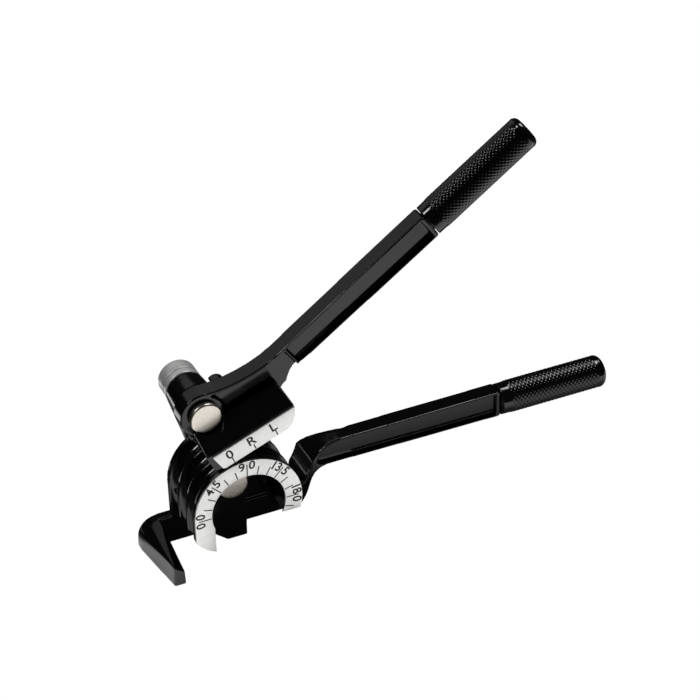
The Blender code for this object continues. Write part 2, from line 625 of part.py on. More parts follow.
def build():
    black = material("black_enamel", (0.012, 0.012, 0.013), 0.18, 0.0)
    grip_black = material("black_knurl", (0.014, 0.014, 0.015), 0.38, 0.0)
    silver = material("scale_silver", (0.80, 0.80, 0.79), 0.38, 0.6)
    nickel = material("nickel", (0.78, 0.75, 0.70), 0.30, 1.0)
    chrome = material("chrome", (0.82, 0.82, 0.83), 0.10, 1.0)
    zinc = material("zinc_steel", (0.52, 0.53, 0.54), 0.36, 1.0)

    link_pivot = pivot_empty("link_pivot", (0, 0))
    handle_pivot = pivot_empty("handle_pivot", (B_X, B_Y), link_pivot)

    lower_handle(black)
    forming_wheel(black)
    finish(slab("scale_plate", horseshoe_outline(WHEEL_OUTER_R, WHEEL_INNER_R), 0.0, SCALE_THICK), silver)
    screws("wheel_screw", WHEEL_SCREWS, 26.5 * MM, BASE_BACK - 0.2 * MM, zinc)
    lower_start = row(LOWER_GRIP_START, BEAM_MID, LOWER_AXIS)
    finish(grip("lower_grip", lower_start, (1, 0, 0), LOWER_GRIP_LENGTH), grip_black)
    cut(bpy.data.objects["lower_grip"], spring_pin_hole("lower", "lower_grip_hole"))
    spring_pin("lower", zinc)
    finish(pivot_pin("wheel_pivot_pin", (0, 0), PIN_A_FACE, PIN_A_BACK), nickel)
    finish(ring("wheel_pivot_washer", (0, 0), 7.6 * MM, LINK_BACK + GAP, LINK_BACK + 1.1 * MM), zinc)
    round_nut("wheel_pivot_nut", (0, 0), 7.2 * MM, LINK_BACK + 1.4 * MM, NUT_BACK - 0.5 * MM, zinc)

    link_plate(zinc, link_pivot)
    between = (BASE_BACK + GAP, LINK_FRONT - GAP)
    finish(ring("link_washer", (0, 0), 8.4 * MM, *between), zinc, link_pivot)
    pin_b = pivot_pin("handle_pivot_pin", (B_X, B_Y), PIN_B_FACE, PIN_B_BACK)
    finish(pin_b, nickel, link_pivot)
    round_nut("handle_pivot_nut", (B_X, B_Y), NUT_R, LINK_BACK + GAP, NUT_BACK, chrome, link_pivot)

    upper_handle(black, handle_pivot)
    forming_shoe(black, handle_pivot)
    strip = [(-2.6, 36.4), (-1.0, 28.4), (0.2, 27.6), (32.8, 27.6), (36.2, 29.2), (38.7, 32.3), (40.4, 36.4)]
    finish(slab("shoe_scale", [shoe(t * MM, n * MM) for t, n in strip], 0.0, SCALE_THICK), silver, handle_pivot)
    screws("shoe_screw", SHOE_SCREWS, 17 * MM, SHOE_BACK - 0.2 * MM, zinc, handle_pivot)
    start = handle(UPPER_GRIP_START, HANDLE_AXIS)
    along = (math.cos(HANDLE_ANGLE), 0.0, math.sin(HANDLE_ANGLE))
    finish(grip("upper_grip", row_at(start), along, UPPER_GRIP_LENGTH), grip_black, handle_pivot)
    cut(bpy.data.objects["upper_grip"], spring_pin_hole("upper", "upper_grip_hole"))
    spring_pin("upper", zinc, handle_pivot)


build()
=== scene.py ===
"""Finished looks of the manual tube bender: rounded castings, turned pins and nuts,
knurled grips and marked scales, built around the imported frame."""
import json
import math

import bmesh
import bpy
import numpy as np
from mathutils import Matrix, Vector

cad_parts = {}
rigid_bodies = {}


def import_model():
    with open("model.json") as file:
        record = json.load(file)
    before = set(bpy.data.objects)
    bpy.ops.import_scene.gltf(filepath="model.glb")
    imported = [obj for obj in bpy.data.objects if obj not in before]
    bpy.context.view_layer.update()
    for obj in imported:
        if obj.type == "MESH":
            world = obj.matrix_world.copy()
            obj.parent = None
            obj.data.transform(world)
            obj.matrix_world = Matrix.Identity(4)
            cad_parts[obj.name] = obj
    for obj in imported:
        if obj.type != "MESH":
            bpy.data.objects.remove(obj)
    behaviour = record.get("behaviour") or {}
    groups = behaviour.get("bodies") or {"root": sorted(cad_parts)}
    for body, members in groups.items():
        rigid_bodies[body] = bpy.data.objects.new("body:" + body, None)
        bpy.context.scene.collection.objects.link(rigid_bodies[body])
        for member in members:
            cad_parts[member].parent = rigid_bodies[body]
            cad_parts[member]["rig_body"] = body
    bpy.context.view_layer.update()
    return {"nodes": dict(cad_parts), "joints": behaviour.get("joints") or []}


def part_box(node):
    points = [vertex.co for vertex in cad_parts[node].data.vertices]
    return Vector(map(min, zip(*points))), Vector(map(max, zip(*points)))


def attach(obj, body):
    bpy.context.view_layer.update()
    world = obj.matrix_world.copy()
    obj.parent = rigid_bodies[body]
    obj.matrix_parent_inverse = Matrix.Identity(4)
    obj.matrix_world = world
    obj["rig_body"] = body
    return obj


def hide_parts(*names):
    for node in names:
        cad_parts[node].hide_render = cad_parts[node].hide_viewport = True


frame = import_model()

MM = 0.001

PIVOTS = {joint["name"]: Vector(joint["pos_m"]) for joint in frame["joints"]}
WHEEL_PIVOT = PIVOTS["link_swing"]
HANDLE_PIVOT = PIVOTS["handle_swing"]
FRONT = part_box("scale_plate")[0].y          # the scale's front face
SHOE_ANGLE = math.radians(21.4)
HANDLE_ANGLE = math.radians(35.2)
WHEEL_INNER_R = 18.0 * MM
WHEEL_OUTER_R = 26.2 * MM
LEFT_LEG_END = 19.4 * MM
RIGHT_LEG_END = 7.7 * MM
EYE_R = 11.2 * MM
LINK_END_R = 9.2 * MM
SHANK_R = 4.0 * MM                          # the pivot pins' shanks
BORE_R = 4.15 * MM                          # the washers' and nuts' bores over them
GRIP_R = 8.1 * MM
GRIP_BORE_R = 4.6 * MM
GRIP_AXIS = -9.3 * MM                       # the upper beam passes this far below its pivot
GRIP_START = 131.8 * MM                     # the upper grip begins this far along the beam
GRIP_LENGTH = 60.0 * MM
ROUND_STEPS = 144


# ---------------------------------------------------------------- camera, floor and light

def camera():
    """The photograph's point of view: a long lens, from the front, the left and above."""
    lens = bpy.data.cameras.new("camera")
    lens.sensor_width = 36.0
    lens.lens = 122.602
    lens.clip_start = 0.01
    eye = bpy.data.objects.new("camera", lens)
    right, up, back = (0.9099, -0.4142, -0.0212), (0.2473, 0.5008, 0.8295), (-0.333, -0.76, 0.5581)
    turn = Matrix((right, up, back)).transposed().to_quaternion().normalized()
    eye.matrix_world = Matrix.Translation((-0.3004, -0.8404, 0.6957)) @ turn.to_matrix().to_4x4()
    bpy.context.scene.collection.objects.link(eye)
    bpy.context.scene.camera = eye


def softbox(name, place, target, size, watts):
    """A rectangular soft light aimed at a point; it shows only as a reflection."""
    lamp = bpy.data.lights.new(name, "AREA")
    lamp.shape = "RECTANGLE"
    lamp.size, lamp.size_y = size
    lamp.energy = watts
    holder = bpy.data.objects.new(name, lamp)
    aim = (Vector(target) - Vector(place)).to_track_quat("-Z", "Y").to_matrix().to_4x4()
    holder.matrix_world = Matrix.Translation(place) @ aim
    holder.visible_camera = False
    bpy.context.scene.collection.objects.link(holder)


def math_node(tree, operation, *values, clamp=False):
    """A maths node fed by numbers and sockets; returns its output."""
    node = tree.nodes.new("ShaderNodeMath")
    node.operation = operation
    node.use_clamp = clamp
    for socket, value in zip(node.inputs, values):
        if isinstance(value, (int, float)):
            socket.default_value = value
        else:
            tree.links.new(value, socket)
    return node.outputs["Value"]


def smooth_step(tree, value, start, end, low=0.0, high=1.0):
    """Eases from low, where value is start or less, to high, where it is end or more."""
    ramp = tree.nodes.new("ShaderNodeMapRange")
    ramp.interpolation_type = "SMOOTHSTEP"
    for socket, number in (("From Min", start), ("From Max", end), ("To Min", low), ("To Max", high)):
        ramp.inputs[socket].default_value = number
    tree.links.new(value, ramp.inputs["Value"])
    return ramp.outputs["Result"]


def only_seen(tree, seen, lit):
    """One strength where the stage is seen directly, another where it lights the tool."""
    path = tree.nodes.new("ShaderNodeLightPath")
    mix = tree.nodes.new("ShaderNodeMix")
    mix.data_type = "FLOAT"
    mix.inputs["B"].default_value = seen
    tree.links.new(path.outputs["Is Camera Ray"], mix.inputs["Factor"])
    tree.links.new(lit, mix.inputs["A"])
    return mix.outputs["Result"]


def floor():
    """A wide white table. Seen directly it is even; the tool is lit by it only in front and close
    by on the left, because the enamel in the photograph reflects a dark room elsewhere."""
    half_width, gap = 14.0, 0.6 * MM            # the gap keeps the table clear of the flat bottom edge
    body = bmesh.new()
    bmesh.ops.create_grid(body, x_segments=2, y_segments=2, size=half_width)
    mesh = bpy.data.meshes.new("floor")
    body.to_mesh(mesh)
    body.free()
    ground = bpy.data.objects.new("floor", mesh)
    ground.location = (0, 0, -gap)
    bpy.context.scene.collection.objects.link(ground)
    paint, tree, shader = new_material("pale_floor")
    set_inputs(shader, {"Base Color": (0.02, 0.02, 0.02, 1.0), "Roughness": 1.0,
                        "Specular IOR Level": 0.0, "Emission Color": (1.0, 1.0, 1.0, 1.0)})
    where = tree.nodes.new("ShaderNodeSeparateXYZ")
    tree.links.new(tree.nodes.new("ShaderNodeTexCoord").outputs["Object"], where.inputs["Vector"])
    x, y = where.outputs["X"], where.outputs["Y"]

    def beyond(value, start, end):
        nearest = math_node(tree, "MINIMUM", end * MM, math_node(tree, "MAXIMUM", start * MM, value))
        return math_node(tree, "SUBTRACT", value, nearest)

    def away_from(x_start, x_end, y_start, y_end, near, far, *levels):
        """Eases with the distance from a rectangle, all in millimetres."""
        past, aside = beyond(x, x_start, x_end), beyond(y, y_start, y_end)
        squares = math_node(tree, "ADD", math_node(tree, "MULTIPLY", past, past),
                            math_node(tree, "MULTIPLY", aside, aside))
        return smooth_step(tree, math_node(tree, "SQRT", squares), near * MM, far * MM, *levels)

    # The table's glow is painted light: dimmer behind, far off and far to the left, with painted
    # shadows of the tool round the head, under the finger and along the beam, and a painted bright
    # patch beside the hub.
    head = away_from(2, 22, -8, 70, 29, 56, 0.02)
    beam = away_from(20, 200, 2, 2, 8, 66, 0.05)
    under_finger = away_from(6, 34, -60, -10, 2, 14, 0.02)
    far_off = away_from(0, 120, -60, 60, 130, 380, 1.0, 0.03)
    beside_hub = away_from(-120, -66, 92, 150, 2, 16, 1.6, 0.0)
    behind = smooth_step(tree, y, -2 * MM, 14 * MM, 1.1, 0.05)
    left = smooth_step(tree, x, -74 * MM, -55 * MM, 0.04)
    shade = math_node(tree, "MULTIPLY", math_node(tree, "MULTIPLY", far_off, behind), left)
    for shadow in (head, under_finger, beam):
        shade = math_node(tree, "MINIMUM", shade, shadow)
    shade = math_node(tree, "MAXIMUM", shade, beside_hub)
    tree.links.new(only_seen(tree, 1.0, shade), shader.inputs["Emission Strength"])
    mesh.materials.append(paint)


def sky():
    """A dark room; seen directly it is as pale as the floor."""
    world = bpy.data.worlds.new("studio")
    bpy.context.scene.world = world
    world.use_nodes = True
    tree = world.node_tree
    dark, pale = 0.015, 1.0
    path = tree.nodes.new("ShaderNodeLightPath")
    tree.links.new(between(tree, path.outputs["Is Camera Ray"], dark, pale, 0.0, 1.0),
                   tree.nodes["Background"].inputs["Strength"])
    tree.nodes["Background"].inputs["Color"].default_value = (1.0, 1.0, 1.0, 1.0)


def studio():
    """The lights on the left and right draw the enamel's bright edges; the card behind greys the
    top of the upper handle."""
    floor()
    sky()
    middle = (0.02, 0.0, 0.06)
    softbox("left_high", (-0.78, 0.09, 0.95), middle, (0.24, 0.36), 2.8)
    softbox("right_high", (0.62, 0.22, 1.15), middle, (0.36, 0.5), 4.4)
    softbox("back_card", (-0.04, 0.17, 0.285), (-0.04, 0.0, 0.27), (0.34, 0.19), 0.065)
    bpy.context.scene.view_settings.view_transform = "Standard"


# ---------------------------------------------------------------- materials

def new_material(name):
    paint = bpy.data.materials.new(name)
    paint.use_nodes = True
    return paint, paint.node_tree, paint.node_tree.nodes["Principled BSDF"]


def set_inputs(shader, values):
    for socket, value in values.items():
        shader.inputs[socket].default_value = value


def noise(tree, scale, stretch=(1.0, 1.0, 1.0), detail=4.0):
    """Noise over the piece's own coordinates; scale is in features per metre."""
    where = tree.nodes.new("ShaderNodeTexCoord")
    mapping = tree.nodes.new("ShaderNodeMapping")
    mapping.inputs["Scale"].default_value = stretch
    texture = tree.nodes.new("ShaderNodeTexNoise")
    texture.inputs["Scale"].default_value = scale
    texture.inputs["Detail"].default_value = detail
    tree.links.new(where.outputs["Object"], mapping.inputs["Vector"])
    tree.links.new(mapping.outputs["Vector"], texture.inputs["Vector"])
    return texture.outputs["Fac"]


def between(tree, factor, low, high, start=0.3, end=0.7):
    """Maps a 0 to 1 factor to a range of values."""
    ramp = tree.nodes.new("ShaderNodeMapRange")
    ramp.inputs["From Min"].default_value = start
    ramp.inputs["From Max"].default_value = end
    ramp.inputs["To Min"].default_value = low
    ramp.inputs["To Max"].default_value = high
    tree.links.new(factor, ramp.inputs["Value"])
    return ramp.outputs["Result"]


def blend_colours(tree, factor, first, second):
    mix = tree.nodes.new("ShaderNodeMix")
    mix.data_type = "RGBA"
    mix.inputs["A"].default_value = (*first, 1.0)
    mix.inputs["B"].default_value = (*second, 1.0)
    tree.links.new(factor, mix.inputs["Factor"])
    return mix.outputs["Result"]


def bump(tree, height, distance, strength, below=None):
    node = tree.nodes.new("ShaderNodeBump")
    node.inputs["Strength"].default_value = strength
    node.inputs["Distance"].default_value = distance
    tree.links.new(height, node.inputs["Height"])
    if below:
        tree.links.new(below, node.inputs["Normal"])
    return node.outputs["Normal"]


def black_enamel():
    """Gloss black enamel over a cast surface: slow waves, fine orange peel, and edges painted lighter
    as wear and as a painted highlight.
    """
    paint, tree, shader = new_material("black_enamel")
    set_inputs(shader, {"IOR": 1.5, "Coat Weight": 0.25, "Coat Roughness": 0.06})
    clouds = noise(tree, 160.0)
    edge = tree.nodes.new("ShaderNodeNewGeometry").outputs["Pointiness"]
    # Sharp edges are painted lighter: partly wear, partly a painted highlight along the edges.
    wear_and_edge_highlight = between(tree, edge, 0.0, 1.0, 0.52, 0.62)
    colour = blend_colours(tree, wear_and_edge_highlight, (0.003, 0.003, 0.0032), (0.016, 0.0155, 0.015))
    tree.links.new(colour, shader.inputs["Base Color"])
    tree.links.new(between(tree, clouds, 0.09, 0.17), shader.inputs["Roughness"])
    waves = bump(tree, noise(tree, 95.0, detail=1.0), 0.4 * MM, 0.10)
    peel = bump(tree, noise(tree, 1100.0, detail=2.0), 0.05 * MM, 0.10, waves)
    tree.links.new(peel, shader.inputs["Normal"])
    return paint


def black_knurl():
    """The grips' enamel: the same black, with a painted highlight that lightens the diamonds' tips."""
    paint, tree, shader = new_material("black_knurl")
    set_inputs(shader, {"IOR": 1.5, "Coat Weight": 0.3, "Coat Roughness": 0.05})
    edge = tree.nodes.new("ShaderNodeNewGeometry").outputs["Pointiness"]
    # The diamonds' tips are painted lighter in colour as a painted highlight; their gloss is the same
    # as elsewhere.
    tip_highlight = between(tree, edge, 0.0, 1.0, 0.50, 0.62)
    tree.links.new(blend_colours(tree, tip_highlight, (0.003, 0.003, 0.003), (0.012, 0.012, 0.0115)),
                   shader.inputs["Base Color"])
    tree.links.new(between(tree, noise(tree, 700.0), 0.07, 0.15), shader.inputs["Roughness"])
    tree.links.new(bump(tree, noise(tree, 900.0, detail=1.0), 0.03 * MM, 0.08), shader.inputs["Normal"])
    return paint


def metal(name, dark, light, roughness, grain, stretch=(1.0, 1.0, 1.0), depth=0.02 * MM, strength=0.25,
          metallic=1.0):
    """A bare or plated metal with uneven colour, roughness and fine grain."""
    paint, tree, shader = new_material(name)
    set_inputs(shader, {"Metallic": metallic})
    cloud = noise(tree, grain / 6, detail=5.0)
    tree.links.new(blend_colours(tree, between(tree, cloud, 0.0, 1.0), dark, light),
                   shader.inputs["Base Color"])
    fine = noise(tree, grain, stretch)
    tree.links.new(between(tree, fine, *roughness), shader.inputs["Roughness"])
    tree.links.new(bump(tree, fine, depth, strength), shader.inputs["Normal"])
    return paint


def mark_black():
    """The ink of the scales' marks, slightly uneven."""
    paint, tree, shader = new_material("mark_black")
    tree.links.new(blend_colours(tree, noise(tree, 2500.0), (0.008, 0.008, 0.008), (0.03, 0.03, 0.03)),
                   shader.inputs["Base Color"])
    tree.links.new(between(tree, noise(tree, 1500.0), 0.45, 0.7), shader.inputs["Roughness"])
    return paint


# ---------------------------------------------------------------- shared tools

def add_piece(name, mesh, look, node, slot, *more_nodes):
    """A finished piece that stands for one or more CAD nodes and rides on their body."""
    piece = bpy.data.objects.new(name, mesh)
    bpy.context.scene.collection.objects.link(piece)
    mesh.materials.clear()
    mesh.materials.append(look)
    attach(piece, frame["nodes"][node]["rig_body"])
    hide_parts(node, *more_nodes)
    return piece


def evaluated_mesh(piece):
    """The piece's mesh with its modifiers applied; the piece itself is removed."""
    graph = bpy.context.evaluated_depsgraph_get()
    mesh = bpy.data.meshes.new_from_object(piece.evaluated_get(graph))
    bpy.data.objects.remove(piece)
    return mesh


def loose(mesh, name="working"):
    piece = bpy.data.objects.new(name, mesh)
    bpy.context.scene.collection.objects.link(piece)
    return piece


def coordinates(mesh):
    points = np.empty(len(mesh.vertices) * 3)
    mesh.vertices.foreach_get("co", points)
    return points.reshape(-1, 3)


def set_coordinates(mesh, points):
    mesh.vertices.foreach_set("co", points.ravel())
    mesh.update()


def vertex_normals(mesh):
    normals = np.empty(len(mesh.vertices) * 3)
    mesh.vertex_normals.foreach_get("vector", normals)
    return normals.reshape(-1, 3)


def smooth(mesh, angle=None):
    mesh.shade_smooth()
    if angle is not None:
        mesh.set_sharp_from_angle(angle=math.radians(angle))
    return mesh


def subtract(mesh, cutter_mesh):
    """Cuts one closed mesh from another."""
    piece, cutter = loose(mesh), loose(cutter_mesh, "cutter")
    modifier = piece.modifiers.new("cut", "BOOLEAN")
    modifier.object = cutter
    modifier.operation = "DIFFERENCE"
    modifier.solver = "EXACT"
    result = evaluated_mesh(piece)
    bpy.data.objects.remove(cutter)
    return result


def ring_mesh(name, rows, start, direction):
    """Skins rows of points (along, radii) about an axis; radii may be one number or one per step."""
    axis = Vector(direction).normalized()
    side = axis.cross(Vector((0, 1, 0)) if abs(axis.y) < 0.9 else Vector((1, 0, 0))).normalized()
    other = axis.cross(side)
    steps = max([len(r) for _, r in rows if not np.isscalar(r)] or [ROUND_STEPS])
    angles = np.arange(steps) * 2 * math.pi / steps
    wheel = np.outer(np.cos(angles), side) + np.outer(np.sin(angles), other)
    verts, faces = [], []
    for along, radii in rows:
        radii = np.broadcast_to(np.asarray(radii, float), (steps,))
        verts.append(np.array(start) + np.array(axis) * along + wheel * radii[:, None])
    verts = np.concatenate(verts)
    for row in range(len(rows) - 1):
        low, high = row * steps, (row + 1) * steps
        for i in range(steps):
            j = (i + 1) % steps
            faces.append((low + i, low + j, high + j, high + i))
    mesh = bpy.data.meshes.new(name)
    mesh.from_pydata(verts.tolist(), [], faces)
    body = bmesh.new()
    body.from_mesh(mesh)
    bmesh.ops.remove_doubles(body, verts=body.verts, dist=0.002 * MM)
    bmesh.ops.recalc_face_normals(body, faces=body.faces)
    body.to_mesh(mesh)
    body.free()
    return mesh


def fillet(along, radius, size, start, end, steps=5):
    """Profile points round a corner circle centred at (along, radius), angles in degrees."""
    return [(along - size * math.cos(math.radians(a)), radius + size * math.sin(math.radians(a)))
            for a in np.linspace(start, end, steps)]


# ---------------------------------------------------------------- castings

def soften(mesh, iterations, zone=None):
    """Rounds a mesh's edges; zone gives each point a share from 0 to 1."""
    ends = np.empty(len(mesh.edges) * 2, dtype=int)
    mesh.edges.foreach_get("vertices", ends)
    first, second = ends.reshape(-1, 2).T
    points, count = coordinates(mesh), len(mesh.vertices)
    neighbours = np.bincount(first, minlength=count) + np.bincount(second, minlength=count)
    share = 0.5 * (np.clip(zone(points), 0, 1) if zone else np.ones(count))
    for _ in range(iterations):
        for axis in range(3):
            values = points[:, axis]
            total = np.bincount(first, values[second], count)
            total += np.bincount(second, values[first], count)
            points[:, axis] = values + share * (total / neighbours - values)
    set_coordinates(mesh, points)
    return mesh


def casting(node, look, turn, true_rounds=(), unfacet=None, voxel=0.38 * MM, rounds=5, zones=(),
            slot="black_enamel"):
    """The CAD casting with its edges rounded as a cast and enamelled edge is.

    The solid is turned so that its long faces lie along the voxels, given one skin, softened and
    turned back. true_rounds lists (centre, radius) of faceted round walls to make truly round, and
    zones lists (iterations, share of each point) of places with a broader rounding.
    """
    mesh = frame["nodes"][node].data.copy()
    body = bmesh.new()
    body.from_mesh(mesh)
    bmesh.ops.remove_doubles(body, verts=body.verts, dist=0.0005 * MM)
    body.to_mesh(mesh)
    body.free()
    if unfacet:
        mesh = unfacet(mesh)
    spin = Matrix.Rotation(turn, 4, "Y")
    mesh.transform(spin)
    piece = loose(mesh)
    skin = piece.modifiers.new("skin", "REMESH")
    skin.mode = "VOXEL"
    skin.voxel_size = voxel
    mesh = soften(evaluated_mesh(piece), rounds)
    mesh.transform(spin.inverted())
    for iterations, zone in zones:
        mesh = soften(mesh, iterations, zone)
    points, normals = coordinates(mesh), vertex_normals(mesh)
    for centre, radius in true_rounds:
        dx, dz = points[:, 0] - centre.x, points[:, 2] - centre.z
        r = np.hypot(dx, dz)
        outward = (normals[:, 0] * dx + normals[:, 2] * dz) / np.maximum(r, MM)
        near = (np.abs(r - radius) < 0.15 * MM) & (np.abs(outward) > 0.9)
        points[near, 0] = centre.x + dx[near] * radius / r[near]
        points[near, 2] = centre.z + dz[near] * radius / r[near]
    set_coordinates(mesh, points)
    mesh.name = node
    return add_piece(node + "_casting", smooth(mesh), look, node, slot)


def round_wheel(mesh):
    """Subdivides the wheel's swept facets and puts the new points on their true circles."""
    sweep, facets, start = 204, 24, -24             # degrees, as the CAD wheel is swept
    facet = math.radians(sweep / facets)
    first = math.radians(start)
    longest = 1.6 * MM
    body = bmesh.new()
    body.from_mesh(mesh)
    bmesh.ops.triangulate(body, faces=body.faces)
    for _ in range(2):
        long_edges = [e for e in body.edges if e.calc_length() > longest]
        bmesh.ops.subdivide_edges(body, edges=long_edges, cuts=1)
        bmesh.ops.triangulate(body, faces=body.faces)
    for vert in body.verts:
        dx, dz = vert.co.x - WHEEL_PIVOT.x, vert.co.z - WHEEL_PIVOT.z
        angle = math.atan2(dz, dx)
        if first < angle < math.pi - 0.001 and math.hypot(dx, dz) > WHEEL_INNER_R * 0.98:
            local = (angle - first) % facet
            factor = math.cos(local - facet / 2) / math.cos(facet / 2)
            vert.co.x = WHEEL_PIVOT.x + dx * factor
            vert.co.z = WHEEL_PIVOT.z + dz * factor
    body.to_mesh(mesh)
    body.free()
    return mesh


def castings(look, plated):
    """The four enamelled castings and the plated link."""
    lean = math.atan2(HANDLE_PIVOT.z - WHEEL_PIVOT.z, HANDLE_PIVOT.x - WHEEL_PIVOT.x)
    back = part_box("forming_wheel")[1].y

    hook_end, bend_start, bend_end, fade = -31 * MM, 30 * MM, 68 * MM, 3 * MM

    def hook(points):
        return (hook_end - points[:, 0]) / (2 * MM)

    def bend(points):
        return np.minimum(points[:, 0] - bend_start, bend_end - points[:, 0]) / fade

    def bend_back(points):
        return np.minimum(bend(points), (points[:, 1] - back - 2 * MM) / fade)

    casting("lower_handle", look, 0.0, [(WHEEL_PIVOT, WHEEL_OUTER_R),
                                        (WHEEL_PIVOT + Vector((-1.3 * MM, 0, 0)), 8.7 * MM)],
            voxel=0.33 * MM, rounds=6, zones=[(24, hook), (10, bend), (45, bend_back)])
    casting("forming_wheel", look, 0.0, unfacet=round_wheel, voxel=0.3 * MM, rounds=9)
    casting("upper_handle", look, HANDLE_ANGLE, [(HANDLE_PIVOT, EYE_R)])
    casting("forming_shoe", look, SHOE_ANGLE, voxel=0.3 * MM, rounds=4)
    casting("link_plate", plated, lean - math.pi / 2,
            [(WHEEL_PIVOT, LINK_END_R), (HANDLE_PIVOT, LINK_END_R)], slot="zinc_steel")


# ---------------------------------------------------------------- scales

def arc(radius, start, end, step=2.0):
    count = max(2, math.ceil(abs(end - start) / step))
    return [(radius * math.cos(math.radians(a)), radius * math.sin(math.radians(a)))
            for a in np.linspace(start, end, count + 1)]


def plate(name, outline, node, look):
    """A thin plate with softly broken edges, as wide as its CAD node is thick."""
    low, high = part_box(node)
    body = bmesh.new()
    verts = [body.verts.new((WHEEL_PIVOT.x + x, low.y, WHEEL_PIVOT.z + z)) for x, z in outline]
    face = body.faces.new(verts)
    pushed = bmesh.ops.extrude_face_region(body, geom=[face])
    moved = [g for g in pushed["geom"] if isinstance(g, bmesh.types.BMVert)]
    bmesh.ops.translate(body, verts=moved, vec=(0, high.y - low.y, 0))
    bmesh.ops.recalc_face_normals(body, faces=body.faces)
    mesh = bpy.data.meshes.new(name)
    body.to_mesh(mesh)
    body.free()
    piece = loose(mesh)
    edge = piece.modifiers.new("edge", "BEVEL")
    edge.width = 0.08 * MM
    edge.segments = 3
    edge.limit_method = "ANGLE"
    edge.angle_limit = math.radians(50)
    return add_piece(name, smooth(evaluated_mesh(piece), 30), look, node, "scale_silver")


def to_front(mesh, centre, turn):
    """Stands a flat drawing up on the scale's face, turned in the plane and moved to centre."""
    mesh.transform(Matrix.Translation((WHEEL_PIVOT.x + centre[0], FRONT, WHEEL_PIVOT.z + centre[1]))
                   @ Matrix.Rotation(math.pi / 2, 4, "X") @ Matrix.Rotation(turn, 4, "Z"))
    return mesh


def lettering(text, centre, turn, height):
    """Flat letters, centred, with their tops turned by an angle from straight up."""
    curve = bpy.data.curves.new("letters", "FONT")
    curve.body = text
    curve.size = height / 0.73              # a capital is 0.73 of the font's size
    curve.align_x = "CENTER"
    curve.align_y = "CENTER"
    curve.extrude = 0.02 * MM
    curve.offset = 0.13 * MM                # bolder strokes
    curve.space_character = 0.9
    piece = bpy.data.objects.new("letters", curve)
    bpy.context.scene.collection.objects.link(piece)
    mesh = evaluated_mesh(piece)
    mesh.transform(Matrix.Diagonal((1.02, 1.0, 1.0, 1.0)))
    return to_front(mesh, centre, turn)


def tick(start, end, width):
    """A thin bar between two points of the scale's face."""
    span = Vector(end) - Vector(start)
    body = bmesh.new()
    bmesh.ops.create_cube(body, size=1.0)
    bmesh.ops.scale(body, verts=body.verts, vec=(width, span.length, 0.04 * MM))
    mesh = bpy.data.meshes.new("tick")
    body.to_mesh(mesh)
    body.free()
    middle = (Vector(start) + Vector(end)) / 2
    return to_front(mesh, middle, math.atan2(span.y, span.x) - math.pi / 2)


def marks(name, meshes, node, look):
    """All the marks of a plate as one piece that rides with it."""
    body = bmesh.new()
    for mesh in meshes:
        body.from_mesh(mesh)
    joined = bpy.data.meshes.new(name)
    body.to_mesh(joined)
    body.free()
    joined.materials.clear()
    joined.materials.append(look)
    piece = loose(joined, name)
    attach(piece, frame["nodes"][node]["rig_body"])


def polar(radius, degrees):
    return radius * math.cos(math.radians(degrees)), radius * math.sin(math.radians(degrees))


def scales(silver, ink):
    """The horseshoe with its degrees and the shoe's strip with its 0, R and L."""
    inner, outer = WHEEL_INNER_R, WHEEL_OUTER_R
    long_end, short_end, numeral_r, line = 24.5 * MM, 22.5 * MM, 23.5 * MM, 0.56 * MM
    leg_x = inner - 1.1 * MM
    right_outer = -math.degrees(math.asin(RIGHT_LEG_END / outer))
    right_inner = -math.degrees(math.asin(RIGHT_LEG_END / inner))
    turn = 180 + math.degrees(math.acos(leg_x / inner))
    foot = [(-outer, -11.6 * MM), (-outer * 0.9, -14.9 * MM), (-outer * 0.78, -17.6 * MM),
            (-leg_x, -LEFT_LEG_END)]
    plate("scale_plate_finished", arc(outer, right_outer, 180) + foot + arc(inner, turn, right_inner),
          "scale_plate", silver)
    numerals = {0: ("0", "0"), 45: ("4", "5"), 90: ("9", "0"), 135: ("13", "5"), 180: ("18", "0")}
    drawn = []
    for degrees in range(0, 196, 15):
        place = 180 - degrees
        long_tick = degrees in numerals
        end = long_end if long_tick else short_end
        drawn.append(tick(polar(inner + 0.3 * MM, place), polar(end, place), line))
        if not long_tick:
            continue
        for side, text in zip((1, -1), numerals[degrees]):
            aside = 6.0 if len(text) == 1 else 8.2      # degrees from the tick to the digits
            at = place + side * aside
            drawn.append(lettering(text, polar(numeral_r, at), math.radians(at - 90), 4.5 * MM))
    marks("scale_marks", drawn, "scale_plate", ink)

    cos, sin = math.cos(SHOE_ANGLE), math.sin(SHOE_ANGLE)

    def shoe(t, n):
        return (t * cos - n * sin) * MM, (t * sin + n * cos) * MM

    strip = [(-2.6, 36.4), (-1.0, 28.4), (0.2, 27.6), (32.8, 27.6), (36.2, 29.2), (38.7, 32.3),
             (40.4, 36.4)]
    plate("shoe_scale_finished", [shoe(t, n) for t, n in strip], "shoe_scale", silver)
    drawn = []
    for t, letter in ((4.9, "0"), (16.2, "R"), (27.7, "L")):
        drawn.append(tick(shoe(t, 27.8), shoe(t, 30.8), line))
        drawn.append(lettering(letter, shoe(t - 0.3, 33.0), SHOE_ANGLE, 4.9 * MM))
    marks("shoe_scale_marks", drawn, "shoe_scale", ink)


# ---------------------------------------------------------------- pins, nuts, screws and washers

